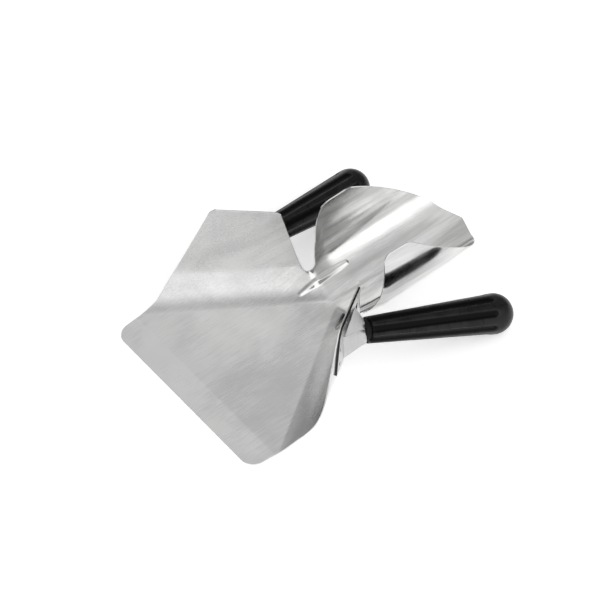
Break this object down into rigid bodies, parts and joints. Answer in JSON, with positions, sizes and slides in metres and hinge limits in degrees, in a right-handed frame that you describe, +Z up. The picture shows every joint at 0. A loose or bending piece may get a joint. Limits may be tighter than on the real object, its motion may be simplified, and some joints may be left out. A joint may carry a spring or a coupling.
{
  "type": "two-handled chip scoop",
  "caption": "Two-handled stainless chip scoop: a flat pan between upright ears narrows into a walled chute, with a fluted black grip held out by a bracket on each side.",
  "frame": {"origin": "centre of the footprint, on the table", "axes": "+X from the front lip back to the chute, +Y to the right-hand grip, +Z up"},
  "size_m": [0.2678, 0.2008, 0.0839],
  "materials": {
    "sheet": "satin stainless sheet, lightly scuffed, brighter inside the chute",
    "bracket": "folded stainless sheet, spot welded",
    "fixing": "plated steel stud, lock washer and nut",
    "ring": "dark ring between bracket and grip",
    "grip": "semi-gloss black moulding with soft flutes"
  },
  "bodies": {
    "root": {"left_bracket": "bracket", "left_grip": "grip", "left_lock_washer": "fixing", "left_neck_ring": "ring", "left_nut": "fixing", "left_stud": "fixing", "right_bracket": "bracket", "right_grip": "grip", "right_lock_washer": "fixing", "right_neck_ring": "ring", "right_nut": "fixing", "right_stud": "fixing", "scoop_body": "sheet"}
  },
  "joints": []
}
